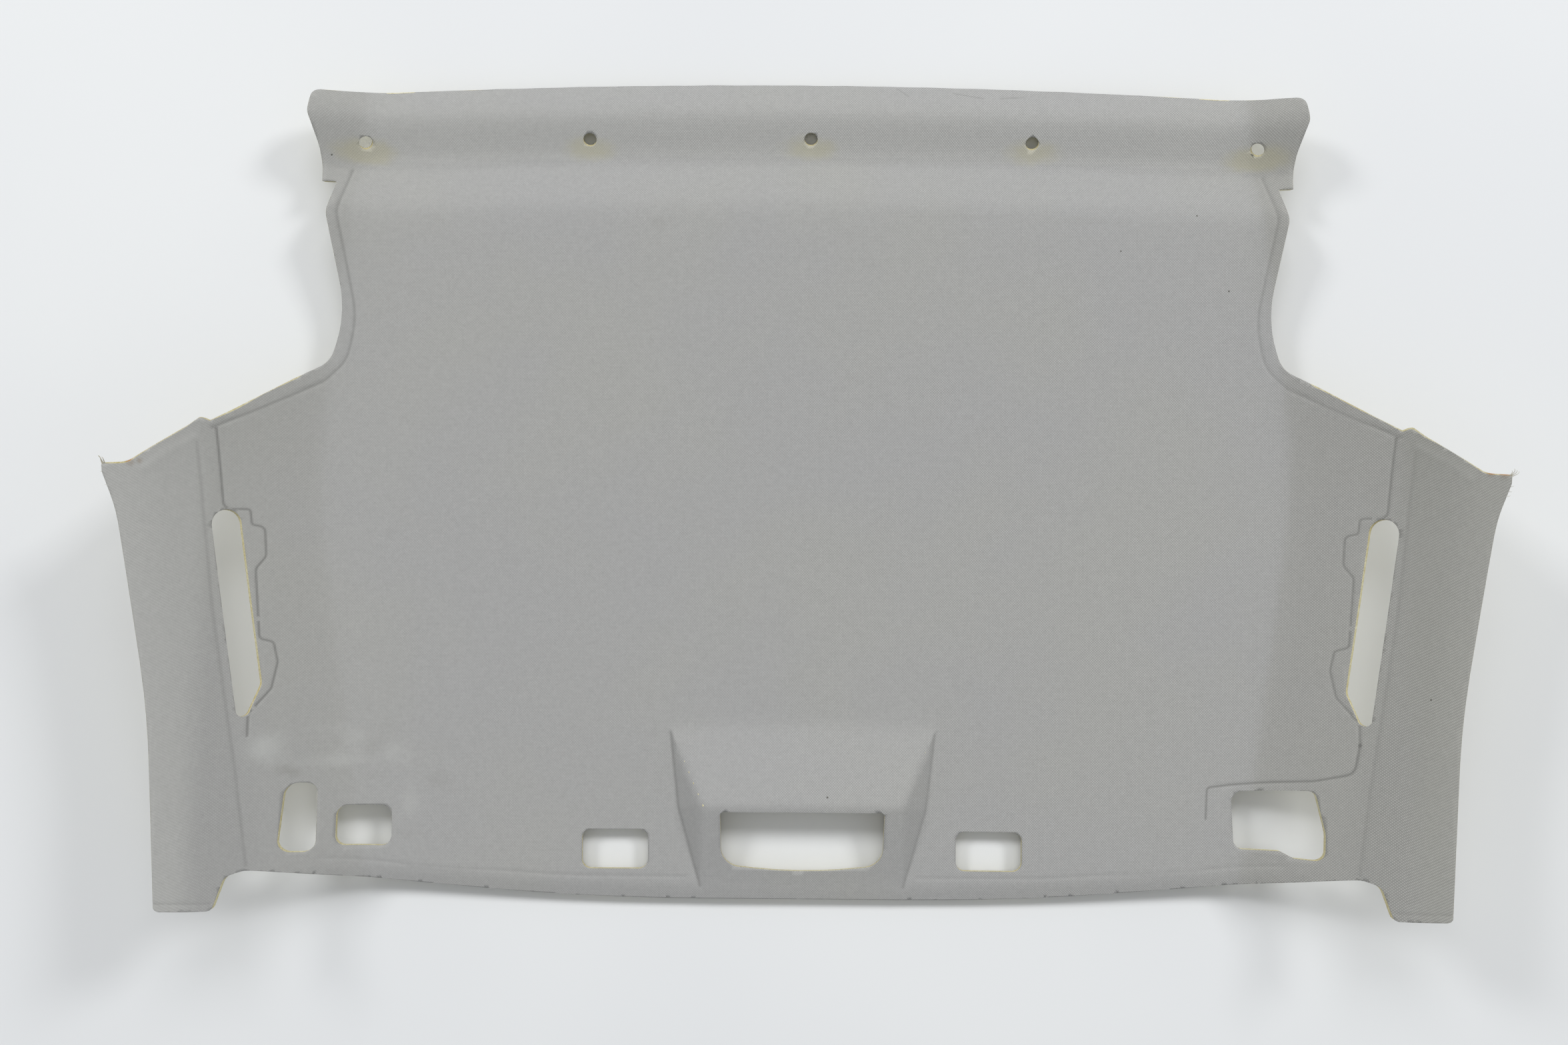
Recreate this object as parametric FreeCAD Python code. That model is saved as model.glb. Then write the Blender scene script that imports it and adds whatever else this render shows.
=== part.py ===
import FreeCAD, Part
import math
import os

Vector = FreeCAD.Vector

# Headliner panel of a small car, all sizes in millimetres.
# It lies on its roof side with the cloth face up: +X runs across the car, +Y to the rear, +Z out of the cloth.

# Walls
board_thickness = 4.0
cloth_thickness = 1.0

# Crown of the roof, as radii
crown_radius_across = 9000.0
crown_radius_along = 9000.0

# Fold line where the field turns up into the sides: furthest out at fold_peak_y, nearer the middle front and rear
fold_out = 428.0
fold_peak_y = 30.0
fold_taper = 0.14
fold_blend = 60.0

# Sides, as slopes and distances beyond the fold line
side_slope = 0.60
side_blend = 16.0
crease_offset = 84.0
wing_slope = 1.05
crease_blend = 12.0
flare_offset = crease_offset + 40.0
flare_slope = 0.55
flare_blend = 16.0

# Rear gutter and flange, bowed in plan
rear_bow_radius = 8300.0
shoulder_y = 275.0
shoulder_slope = 0.70
shoulder_blend = 10.0
gutter_run = 38.0
valley_y = shoulder_y + gutter_run
valley_blend = 8.0
flange_slope = 0.55
flange_run = 45.0
roll_y = valley_y + flange_run
roll_slope = 0.62
roll_blend = 10.0

# Front lip, bowed in plan
front_bow_radius = 4300.0
front_y = -352.6
lip_y = front_y + 10.6
lip_slope = 0.35
lip_blend = 6.0
lip_half_width = fold_out + 12.0
lip_fade = 15.0

# Outline, right half: x, y and corner radius, from the rear edge round to the front edge
rear_half_width = fold_out + 8.5
rear_corner_y = roll_y + 6.0
rear_edge_angle = 4.2
rear_arc_share = 0.92
neck_half_width = fold_out - 17.5
wing_root_y = 108.5
wing_tip_x = fold_out + 154.0
wing_tip_y = 30.0
leg_outer_x = fold_out + 107.0
leg_inner_x = fold_out + 69.0
leg_end_y = front_y + 7.1
flange_end = [
    (rear_half_width, rear_corner_y, 8.0),
    (rear_half_width + 3.0, rear_corner_y - 21.0, 14.0),
    (rear_half_width - 3.0, valley_y + 4.0, 40.0),
    (rear_half_width - 5.5, shoulder_y + 10.5, 1.0),
]
neck_side = [
    (neck_half_width + 9.0, shoulder_y + 11.5, 1.5),
    (neck_half_width + 15.5, shoulder_y - 18.0, 25.0),
    (neck_half_width, wing_root_y + 59.5, 120.0),
    (neck_half_width + 13.0, wing_root_y + 16.5, 26.0),
    (neck_half_width + 41.5, wing_root_y, 60.0),
    (wing_tip_x - 69.5, wing_tip_y + 39.0, 2.0),
]
wing_side = [
    (wing_tip_x - 63.5, wing_tip_y + 42.0, 3.0),
    (wing_tip_x - 55.0, wing_tip_y + 33.5, 5.0),
    (wing_tip_x - 17.0, wing_tip_y + 1.5, 14.0),
    (wing_tip_x, wing_tip_y, 1.5),
    (wing_tip_x - 0.5, wing_tip_y - 6.5, 4.0),
    (wing_tip_x - 10.5, wing_tip_y - 38.0, 160.0),
    (leg_outer_x + 10.5, leg_end_y + 170.5, 900.0),
    (leg_outer_x, leg_end_y + 5.5, 5.0),
    (leg_inner_x, leg_end_y, 4.0),
    (leg_inner_x - 7.0, leg_end_y + 26.5, 8.0),
    (leg_inner_x - 19.0, leg_end_y + 29.5, 15.0),
]
front_side = [
    (fold_out - 38.0, front_y + 18.6, 900.0),
    (fold_out - 238.0, front_y, 2000.0),
]

# Clip holes in the rear flange
clip_hole_radius = 6.0
clip_hole_pitch = 200.0
clip_hole_count = 5
clip_row_x = 3.0
clip_row_y = valley_y + 20.0

# Lamp console: a wedge that rises towards a cross fold and falls again to the front lip
console_rise = 22.0
console_front_y = front_y + 11.6
console_front_half_width = 91.0
console_fold_y = console_front_y + 75.0
console_fold_half_width = console_front_half_width - 3.0
console_foot_y = console_fold_y - 5.0
console_foot_half_width = console_front_half_width + 20.0
console_rear_y = console_fold_y + 66.0
console_rear_half_width = console_front_half_width + 28.0

# Lamp opening in the console, right half
lamp_half_width = console_fold_half_width - 15.0
lamp_rear_y = console_fold_y - 5.3
lamp_front_y = console_front_y + 12.5
lamp_side_rise = 7.5
lamp_rear_radius = 3.5
lamp_front_radius = 18.0
lamp_bow_radius = 400.0

# Openings for the visor clips beside the console
clip_opening_width = 59.0
clip_opening_length = 35.5
clip_opening_x = console_foot_half_width + 26.8 + clip_opening_width / 2
clip_opening_y = front_y + 44.6
clip_opening_radius = 8.5

# Openings for the visor hinges: one stepped opening on the right, two plain ones on the left
hinge_x = fold_out - 1.0
hinge_y = front_y + 77.6
right_visor_opening = [
    (hinge_x - 45.0, hinge_y + 24.0, 10.0),
    (hinge_x + 20.0, hinge_y + 30.0, 6.0),
    (hinge_x + 27.0, hinge_y - 6.0, 30.0),
    (hinge_x + 26.0, hinge_y - 30.0, 9.0),
    (hinge_x + 3.0, hinge_y - 30.0, 5.0),
    (hinge_x - 7.0, hinge_y - 25.0, 5.0),
    (hinge_x - 43.0, hinge_y - 27.0, 8.0),
]
left_visor_opening = [
    (-hinge_x - 24.0, hinge_y + 30.0, 11.0),
    (-hinge_x, hinge_y + 28.0, 9.0),
    (-hinge_x + 0.5, hinge_y - 32.0, 9.0),
    (-hinge_x - 29.0, hinge_y - 29.0, 11.0),
]
left_bracket_opening = [
    (-hinge_x + 15.0, hinge_y + 7.0, 9.0),
    (-hinge_x + 61.0, hinge_y + 5.0, 9.0),
    (-hinge_x + 61.0, hinge_y - 31.0, 9.0),
    (-hinge_x + 15.0, hinge_y - 28.0, 9.0),
]

# Long slot in each side, measured on the sloping surface; its lower inner corner is cut off slanting
slot_width = 26.0
slot_length = 179.0
slot_centre_y = -96.5
slot_beyond_fold = crease_offset - 10.0
slot_slant_rise = 25.0
slot_slant_run = 16.0
slot_end_roundness = 0.99
slot_outer_radius = 5.0
slot_tip_radius = 7.0
slot_slant_radius = 12.0

# The panel settles by this angle on to its gutter and its front lip
rest_pitch = 1.3

# Lines that divide the moulded surface into patches. A bend takes one curved patch, and all else is ruled.
field_columns = 3
field_rows = 12
side_bends = [(0.0, 18.0), (crease_offset, 13.0), (flare_offset, 17.0)]
rear_bends = [(shoulder_y, 10.0), (valley_y, 9.0), (roll_y, 11.0)]
lip_lines = [lip_y - 8.0, lip_y - 2.5, lip_y + 2.5, lip_y + 8.0]
side_margin = 60.0
rear_margin = 45.0
front_margin = 40.0

# Extent of the working solids, well past the panel above and below
reach = 200.0
depth_below = 60.0


def soft_ramp(distance, slope, blend):
    """Height of a surface that is level before a line and slopes after it, rounded where it turns."""
    return slope * (distance + math.hypot(distance, blend)) / 2


def soft_step(distance, blend):
    """Share that grows from nothing before a line to one after it."""
    return (1 + distance / math.hypot(distance, blend)) / 2


def side_fold(y):
    """Distance of the side fold line from the middle of the panel."""
    return fold_out - fold_taper * (math.hypot(y - fold_peak_y, fold_blend) - fold_blend)


def relief(x, y):
    """Height of the board's cabin face."""
    beyond = abs(x) - side_fold(y)
    rear = y + x * x / (2 * rear_bow_radius)
    front = x * x / (2 * front_bow_radius) - y
    height = x * x / (2 * crown_radius_across) + y * y / (2 * crown_radius_along)
    height += soft_ramp(beyond, side_slope, side_blend)
    height += soft_ramp(beyond - crease_offset, wing_slope - side_slope, crease_blend)
    height -= soft_ramp(beyond - flare_offset, wing_slope - flare_slope, flare_blend)
    height -= soft_ramp(rear - shoulder_y, shoulder_slope, shoulder_blend)
    height += soft_ramp(rear - valley_y, shoulder_slope + flange_slope, valley_blend)
    height -= soft_ramp(rear - roll_y, flange_slope + roll_slope, roll_blend)
    height -= soft_ramp(front + lip_y, lip_slope, lip_blend) * soft_step(lip_half_width - abs(x), lip_fade)
    return height


def normal(x, y):
    """Unit normal of the cabin face."""
    across = relief(x + 0.5, y) - relief(x - 0.5, y)
    along = relief(x, y + 0.5) - relief(x, y - 0.5)
    direction = Vector(-across, -along, 1)
    return direction.normalize()


def surface_point(x, y, level):
    """Point above or below the cabin face by level, measured square to the face."""
    return Vector(x, y, relief(x, y) + level / normal(x, y).z)


def along_lines():
    """Lines across the panel from front to rear, each with whether the strip before it is bent."""
    lines = [(lip_lines[0] - front_margin, False)]
    lines += [(y, False) for y in lip_lines]
    start = lip_lines[-1]
    length = rear_bends[0][0] - rear_bends[0][1] - start
    lines += [(start + length * i / field_rows, False) for i in range(1, field_rows)]
    for middle, half_width in rear_bends:
        lines += [(middle - half_width, False), (middle + half_width, True)]
    return lines + [(roll_y + rear_margin, False)]


def across_lines():
    """Lines along the panel, each a side, a share of the field's width, a distance past it and a bend mark."""
    edge = side_bends[0][1]
    right = [(1, i / field_columns, 0.0, False) for i in range(field_columns + 1)]
    for middle, half_width in side_bends:
        right += [(1, 1.0, edge + middle - half_width, False), (1, 1.0, edge + middle + half_width, True)]
    right.remove((1, 1.0, 0.0, False))
    right.append((1, 1.0, edge + flare_offset + side_margin, False))
    bent = [mark for side, share, past, mark in right[1:]] + [False]
    left = [(-1, share, past, mark) for (side, share, past, old), mark in zip(right, bent)]
    return left[:0:-1] + right


def line_x(line, y):
    """Where a line along the panel lies at y."""
    side, share, past, mark = line
    return side * (share * (side_fold(y) - side_bends[0][1]) + past)


def patch_point(start, end, share, along, level):
    """Point on the moulded face between two lines along the panel, raised square to the face by level."""
    front_end = lip_lines[-1]
    rear_start = rear_bends[0][0] - rear_bends[0][1]
    rear_share = min(max((along - front_end) / (rear_start - front_end), 0), 1)
    bow = (1 - rear_share) / (2 * front_bow_radius) - rear_share / (2 * rear_bow_radius)
    y = along
    for settle in range(12):
        x = (1 - share) * line_x(start, y) + share * line_x(end, y)
        y = along + bow * x * x
    return surface_point(x, y, level)


def patch_poles(start, end, front, rear, level):
    """Poles of one patch, from points and slopes at its corners: four along a bend, two along a straight run."""
    small = 0.02
    length = rear[0] - front[0]

    def corner(i, j):
        share, along = i, front[0] + j * length
        step = small * length
        here = patch_point(start, end, share, along, level)
        right = patch_point(start, end, share + small, along, level)
        left = patch_point(start, end, share - small, along, level)
        back = patch_point(start, end, share, along + step, level)
        fore = patch_point(start, end, share, along - step, level)
        right_back = patch_point(start, end, share + small, along + step, level)
        right_fore = patch_point(start, end, share + small, along - step, level)
        left_back = patch_point(start, end, share - small, along + step, level)
        left_fore = patch_point(start, end, share - small, along - step, level)
        across = (right - left) * ((1 - 2 * i) / (6 * small))
        towards = (back - fore) * ((1 - 2 * j) / (6 * small))
        twist = (right_back - right_fore - left_back + left_fore) * ((1 - 2 * i) * (1 - 2 * j) / (36 * small ** 2))
        return here, across, towards, twist

    poles = [[None] * 4 for column in range(4)]
    for i in (0, 1):
        for j in (0, 1):
            here, across, towards, twist = corner(i, j)
            edge_i, inner_i = 3 * i, 1 + i
            edge_j, inner_j = 3 * j, 1 + j
            poles[edge_i][edge_j] = here
            poles[inner_i][edge_j] = here + across
            poles[edge_i][inner_j] = here + towards
            poles[inner_i][inner_j] = here + across + towards + twist
    if not end[3]:
        poles = [poles[0], poles[3]]
    if not rear[1]:
        poles = [[column[0], column[3]] for column in poles]
    return poles


def bezier_face(poles):
    """Face over a grid of poles."""
    surface = Part.BezierSurface()
    surface.increase(len(poles) - 1, len(poles[0]) - 1)
    for i, column in enumerate(poles):
        for j, pole in enumerate(column):
            surface.setPole(i + 1, j + 1, pole)
    return surface.toShape()


def relief_slab(upper, lower):
    """The moulded sheet between two levels, without the lamp console."""
    columns = across_lines()
    rows = along_lines()
    faces = []
    for i, (start, end) in enumerate(zip(columns, columns[1:])):
        for j, (front, rear) in enumerate(zip(rows, rows[1:])):
            top = patch_poles(start, end, front, rear, upper)
            bottom = patch_poles(start, end, front, rear, lower)
            faces += [bezier_face(top), bezier_face(bottom)]
            if i == 0:
                faces.append(bezier_face([top[0], bottom[0]]))
            if i == len(columns) - 2:
                faces.append(bezier_face([top[-1], bottom[-1]]))
            if j == 0:
                faces.append(bezier_face([[column[0] for column in grid] for grid in (top, bottom)]))
            if j == len(rows) - 2:
                faces.append(bezier_face([[column[-1] for column in grid] for grid in (top, bottom)]))
    shell = Part.makeCompound(faces)
    shell.sewShape()
    return Part.Solid(shell.Shells[0])


def rounded_edges(corners, closed):
    """Straight runs joined by tangent arcs; each corner is x, y and its radius."""
    count = len(corners)
    places = [Vector(x, y, 0) for x, y, radius in corners]
    arrivals = list(places)
    departures = list(places)
    arcs = [None] * count
    inner = range(count) if closed else range(1, count - 1)
    for i in inner:
        radius = corners[i][2]
        if radius == 0:
            continue
        back = (places[i - 1] - places[i]).normalize()
        ahead = (places[(i + 1) % count] - places[i]).normalize()
        half_angle = back.getAngle(ahead) / 2
        setback = radius / math.tan(half_angle)
        arrivals[i] = places[i] + back * setback
        departures[i] = places[i] + ahead * setback
        bisector = (back + ahead).normalize()
        middle = places[i] + bisector * (radius / math.sin(half_angle) - radius)
        arcs[i] = Part.Arc(arrivals[i], middle, departures[i]).toShape()
    edges = []
    for i in range(count):
        if arcs[i] is not None:
            edges.append(arcs[i])
        if closed or i < count - 1:
            edges.append(Part.makeLine(departures[i], arrivals[(i + 1) % count]))
    return edges


def loop(corners):
    """Closed outline in plan."""
    return Part.Wire(rounded_edges(corners, True))


def prism(wire):
    """Upright solid over a closed outline, tall enough to pass through the panel."""
    face = Part.Face(wire)
    face.translate(Vector(0, 0, -depth_below))
    return face.extrude(Vector(0, 0, depth_below + reach))


def mirrored(corners):
    """The same corners on the other side of the middle, in reverse order."""
    return [(-x, y, radius) for x, y, radius in reversed(corners)]


def outline():
    """Edge of the whole panel."""
    tangent = math.tan(math.radians(rear_edge_angle))
    apex_y = rear_corner_y + rear_half_width * tangent
    setback = rear_arc_share * math.hypot(rear_half_width, apex_y - rear_corner_y)
    right = flange_end + neck_side + wing_side + front_side
    return loop([(0, apex_y, setback / tangent)] + right + mirrored(right))


def console_block(level):
    """Everything below the lamp console at one level."""
    rear_z = relief(console_rear_half_width, console_rear_y)
    fold_z = relief(console_fold_half_width, console_fold_y) + console_rise
    foot_z = relief(console_foot_half_width, console_foot_y)
    front_z = relief(console_front_half_width, console_front_y)
    block = Part.makeBox(2 * reach, 2 * reach, 2 * reach, Vector(-reach, console_fold_y - reach, -reach))
    for side in (-1, 1):
        rear = Vector(side * console_rear_half_width, console_rear_y, rear_z)
        fold = Vector(side * console_fold_half_width, console_fold_y, fold_z)
        foot = Vector(side * console_foot_half_width, console_foot_y, foot_z)
        front = Vector(side * console_front_half_width, console_front_y, front_z)
        block = block.cut(above_plane(fold, rear, foot, level))
        block = block.cut(above_plane(fold, foot, front, level))
    across = Vector(1, 0, 0)
    block = block.cut(above_plane(fold, fold + across, rear, level))
    block = block.cut(above_plane(fold, fold + across, front, level))
    floor = Part.makeBox(4 * reach, 4 * reach, reach, Vector(-2 * reach, -2 * reach - reach, -reach - depth_below))
    return block.cut(floor)


def above_plane(a, b, c, level):
    """The space above the plane through three points, moved out by level."""
    facing = (b - a).cross(c - a).normalize()
    if facing.z < 0:
        facing = facing * -1
    size = 4 * reach
    space = Part.makeBox(size, size, size, Vector(-size / 2, -size / 2, 0))
    space.Placement = FreeCAD.Placement(a + facing * level, FreeCAD.Rotation(Vector(0, 0, 1), facing))
    return space


def moulding(upper, lower):
    """The moulded sheet between two levels, with the lamp console."""
    outer = console_block(upper)
    raised = outer.cut(console_block(lower)).common(relief_slab(reach / 4, lower))
    return relief_slab(upper, lower).cut(outer).fuse(raised)


def opening_corners():
    """Upright openings in plan, each clockwise."""
    half = lamp_half_width
    lamp = [
        (-half, lamp_rear_y, lamp_rear_radius),
        (half, lamp_rear_y, lamp_rear_radius),
        (half - 1, lamp_front_y + lamp_side_rise, lamp_front_radius),
        (0, lamp_front_y, lamp_bow_radius),
        (1 - half, lamp_front_y + lamp_side_rise, lamp_front_radius),
    ]
    clips = [clip_opening(side * clip_opening_x) for side in (-1, 1)]
    return [lamp, right_visor_opening, left_visor_opening, left_bracket_opening] + clips


def clip_opening(x):
    """Rounded rectangle beside the console, centred on x."""
    half_width = clip_opening_width / 2
    rear = clip_opening_y + clip_opening_length / 2
    front = clip_opening_y - clip_opening_length / 2
    sides = ((x - half_width, rear), (x + half_width, rear), (x + half_width, front), (x - half_width, front))
    return [(side_x, side_y, clip_opening_radius) for side_x, side_y in sides]


def slot_corners(side):
    """The long side slot, drawn flat about its middle."""
    half_width = slot_width / 2
    half_length = slot_length / 2
    corners = [
        (-half_width, half_length, half_width * slot_end_roundness),
        (half_width, half_length, half_width * slot_end_roundness),
        (half_width, -half_length, slot_outer_radius),
        (slot_slant_run - half_width, -half_length, slot_tip_radius),
        (-half_width, slot_slant_rise - half_length, slot_slant_radius),
    ]
    return corners if side > 0 else mirrored(corners)


def slot_solid(side):
    """Slot cut square to the sloping surface."""
    lean = fold_taper
    middle_x = side_fold(slot_centre_y) + slot_beyond_fold
    out = normal(side * middle_x, slot_centre_y)
    along = Vector(side * lean, 1, 0)
    along = (along - out * along.dot(out)).normalize()
    across = along.cross(out).normalize()
    face = Part.Face(loop(slot_corners(side)))
    face.translate(Vector(0, 0, -reach / 8))
    solid = face.extrude(Vector(0, 0, reach / 4))
    middle = surface_point(side * middle_x, slot_centre_y, 0)
    turn = FreeCAD.Rotation(across, along, out, "ZXY")
    solid.Placement = FreeCAD.Placement(middle, turn)
    return solid


def clip_holes():
    """Round holes square to the rear flange."""
    holes = []
    for i in range(clip_hole_count):
        x = clip_row_x + (i - (clip_hole_count - 1) / 2) * clip_hole_pitch
        y = clip_row_y - x * x / (2 * rear_bow_radius)
        out = normal(x, y)
        start = surface_point(x, y, 0) - out * 15
        holes.append(Part.makeCylinder(clip_hole_radius, 30, start, out))
    return holes


def openings():
    """Every opening as a solid."""
    upright = [prism(loop(corners)) for corners in opening_corners()]
    return upright + [slot_solid(side) for side in (-1, 1)]


def panel_solids():
    """The board and its cloth, still in the mould's own position."""
    trim = prism(outline())
    cut_outs = openings() + clip_holes()
    board = moulding(0, -board_thickness).common(trim).cut(cut_outs)
    cloth = moulding(cloth_thickness, 0).common(trim).cut(cut_outs)
    return {"foam_board": board, "fabric_facing": cloth}


def at_rest(solids):
    """The panel leaned to its rest, centred, with its lowest point on the floor."""
    for solid in solids.values():
        solid.rotate(Vector(0, 0, 0), Vector(1, 0, 0), rest_pitch)
    box = Part.makeCompound(list(solids.values())).optimalBoundingBox()
    shift = Vector(-box.Center.x, -box.Center.y, -box.ZMin)
    for solid in solids.values():
        solid.translate(shift)
    return solids


os.makedirs("parts", exist_ok=True)
for name, solid in at_rest(panel_solids()).items():
    solid.exportStep(f"parts/{name}.step")
    print(name, "solids", len(solid.Solids), "valid", solid.isValid(), "volume", round(solid.Volume))
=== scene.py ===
import math

import bpy
import numpy as np
from mathutils import Matrix, Vector
from mathutils.bvhtree import BVHTree


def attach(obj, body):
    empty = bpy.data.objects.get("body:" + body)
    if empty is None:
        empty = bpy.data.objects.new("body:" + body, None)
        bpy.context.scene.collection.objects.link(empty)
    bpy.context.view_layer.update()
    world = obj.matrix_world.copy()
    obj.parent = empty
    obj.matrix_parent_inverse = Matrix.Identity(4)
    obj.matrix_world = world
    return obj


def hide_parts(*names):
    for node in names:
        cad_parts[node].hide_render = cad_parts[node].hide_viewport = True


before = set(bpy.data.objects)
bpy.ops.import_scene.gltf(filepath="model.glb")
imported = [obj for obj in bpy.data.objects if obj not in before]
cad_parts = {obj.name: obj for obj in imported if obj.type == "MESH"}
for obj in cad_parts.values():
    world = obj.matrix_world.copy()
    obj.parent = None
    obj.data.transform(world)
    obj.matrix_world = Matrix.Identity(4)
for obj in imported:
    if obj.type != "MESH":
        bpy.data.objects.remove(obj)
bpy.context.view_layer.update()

# The mould's own position, against the panel at rest: leaned about the width, then moved, in millimetres
REST_PITCH = 1.3
REST_SHIFT = (0.0, -14.454, 13.895)

# Moulded surface, as in the panel's source
CROWN_RADIUS = 9000.0
FOLD_OUT, FOLD_PEAK_Y, FOLD_TAPER, FOLD_BLEND = 428.0, 30.0, 0.14, 60.0
SIDE_SLOPE, SIDE_BLEND = 0.60, 16.0
CREASE_OFFSET, WING_SLOPE, CREASE_BLEND = 84.0, 1.05, 12.0
FLARE_OFFSET, FLARE_SLOPE, FLARE_BLEND = 124.0, 0.55, 16.0
REAR_BOW_RADIUS = 8300.0
SHOULDER_Y, SHOULDER_SLOPE, SHOULDER_BLEND = 275.0, 0.70, 10.0
VALLEY_Y, VALLEY_BLEND, FLANGE_SLOPE = 313.0, 8.0, 0.55
ROLL_Y, ROLL_SLOPE, ROLL_BLEND = 358.0, 0.62, 10.0
FRONT_BOW_RADIUS = 4300.0
LIP_Y, LIP_SLOPE, LIP_BLEND, LIP_HALF_WIDTH, LIP_FADE = -342.0, 0.35, 6.0, 440.0, 15.0
CONSOLE_RISE = 22.0
CONSOLE_REAR = (119.0, -200.0)
CONSOLE_FOLD = (88.0, -266.0)
CONSOLE_FOOT = (111.0, -271.0)
CONSOLE_FRONT = (91.0, -341.0)
CONSOLE_BLEND = 1.5
CLOTH_THICKNESS = 1.0
LEAST_CLOTH = 0.3

# Fineness of the cloth's mesh, and how far out it is finer beside a pressed line, in millimetres
CELL = 4.5
FINE_REACH = 5.0
FINE_CUTS = 3

# The slab that the cloth is cut from, and the upright solid that cuts it, in millimetres
BLANK_WIDTH, BLANK_LENGTH, BLANK_THICKNESS, BLANK_MIDDLE_Y = 1200.0, 800.0, 4.0, 15.0
PATTERN_FOOT, PATTERN_HEIGHT = -20.0, 40.0

# Lines pressed into the cloth, with a raised ridge on the wings and a painted shade line along the valley:
# corners x, y and each turn's radius, in the mould's position in millimetres
SLOT_LINE = (
    (508, 62, 0), (502.5, -7, 7), (483.5, -7, 3), (482, -20.5, 3), (472.5, -22.5, 6),
    (471, -48, 8), (478.5, -59, 8), (474, -119.5, 5), (463.5, -123, 4), (460, -140, 8),
    (464, -163, 8), (480, -184, 10), (480, -203, 0),
)
VISOR_LINE = ((480, -203, 0), (475.5, -228, 12), (447, -236.5, 30), (361, -248, 4), (360, -276, 0))
NECK_LINE = (
    (409, 298, 0), (418, 258, 26), (401.5, 165, 100), (410, 127, 34), (429, 107.5, 30), (511, 63, 0),
)
FRONT_LINE = ((425, -312, 0), (360, -321, 300), (215, -331.5, 600), (104, -332.5, 0))
WING_LINE = (
    (521, 50, 0), (515, -20, 300), (508, -88, 300), (497, -165, 300), (487, -231, 300), (476, -315, 0),
)
# Painted shade along the valley's fold, with no depth
VALLEY_SHADE_LINE = ((0, 311, 0), (215, 308.2, 900), (422, 300.4, 0))
LEG_LINE = ((535, -333.5, 0), (498, -339, 0))
CONSOLE_LINE = ((118.5, -204, 0), (111, -271, 3), (91, -341, 0))
WING_RIDGE = ((523, 55, 0), (539, 43, 60), (555, 27.5, 0))
TOP_SCRATCHES = (
    ((173.3, 369.0, 0), (193.8, 370.4, 0)),
    ((131.3, 374.0, 0), (157.7, 368.9, 0)),
    ((80.2, 378.3, 0), (90.3, 371.0, 0)),
)

# Each line's side, half width, depth and darkness. The darkness paints shade along the line and, where it is
# below 0, a pale line; on the top scratches it is their own dark colour.
BOTH_SIDES, RIGHT_SIDE = 0, 1
PRESSED = [
    (SLOT_LINE, BOTH_SIDES, 1.2, 0.8, 0.75),
    (VISOR_LINE, RIGHT_SIDE, 1.3, 0.7, 0.8),
    (NECK_LINE, BOTH_SIDES, 1.7, 0.8, 0.5),
    (FRONT_LINE, BOTH_SIDES, 1.6, 0.4, 0.25),
    (WING_LINE, BOTH_SIDES, 1.8, 0.3, 0.38),
    (LEG_LINE, BOTH_SIDES, 1.2, 0.4, 0.35),
    (CONSOLE_LINE, BOTH_SIDES, 1.8, 0.6, 0.5),
    (VALLEY_SHADE_LINE, BOTH_SIDES, 2.6, 0.0, 0.16),
    (WING_RIDGE, BOTH_SIDES, 4.0, -0.3, -0.22),
]
PRESSED += [(scratch, RIGHT_SIDE, 0.8, 0.1, 0.6) for scratch in TOP_SCRATCHES]
RIGHT_LINE_SHADE = 0.85
# Strength of the painted shade on the left side wall, against the right
LEFT_WALL_PAINTED_SHADE = 0.45

# Worn open edges: where the wings' rear edges and the flange's edge lie, and how far they are drawn back
FLANGE_HALF_WIDTH, FLANGE_EDGE_Y = 440, 340
WING_EDGE_FRONT_Y, WING_EDGE_REAR_Y = 26, 110
WEAR_REACH = 7.0
WING_WEAR, FLANGE_WEAR = 1.5, 0.5
NICK_DEPTH = 0.7
NICKS = ((-366, 12), (365, 13))

# Clip holes of the rear flange, in millimetres
HOLE_MIDDLE_X, HOLE_ROW_Y, HOLE_SPACING = 3, 333, 200
HOLE_ROW_X = [HOLE_MIDDLE_X + HOLE_SPACING * step for step in (-2, -1, 0, 1, 2)]
HOLES = [(x, HOLE_ROW_Y - x ** 2 / (2 * REAR_BOW_RADIUS)) for x in HOLE_ROW_X]

# Marks on the cloth: x, y, half length, half width and strength, and specks: x, y and radius, in millimetres
GLUE_MARKS = [(x, y - 8, 27, 11, 1.0 + 0.3 * (abs(x) > 300)) for x, y in HOLES]
DARK_MARKS = (
    (-453, -233, 9, 6, 0.7), (-443, -238, 7, 5, 0.6), (-384, -218, 18, 11, 0.5), (-381, -243, 20, 6, 0.5),
    (-325, -248, 22, 16, 0.45), (-350, -296, 20, 6, 0.5), (-132, 254, 14, 9, 0.5),
    (-505, -290, 16, 34, 0.35),
    (120, 262, 90, 7, 0.4), (250, 258, 60, 6, 0.4), (-370, -200, 40, 14, 0.3),
)
PALE_MARKS = (
    (-467, -215, 19, 17, 0.75), (-417, -229, 32, 9, 0.6), (-398, -210, 20, 12, 0.5),
    (-362, -222, 18, 16, 0.5), (-350, -266, 12, 26, 0.55), (-426, -198, 30, 7, 0.4),
)
SPECKS = (
    (-424.9, 310.2, 1.3), (348.4, 262.9, 1.1), (281.0, 231.0, 1.0), (377.1, 195.4, 1.2), (22.1, -257.9, 1.3),
    (526.4, -159.0, 1.2),
)

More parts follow.
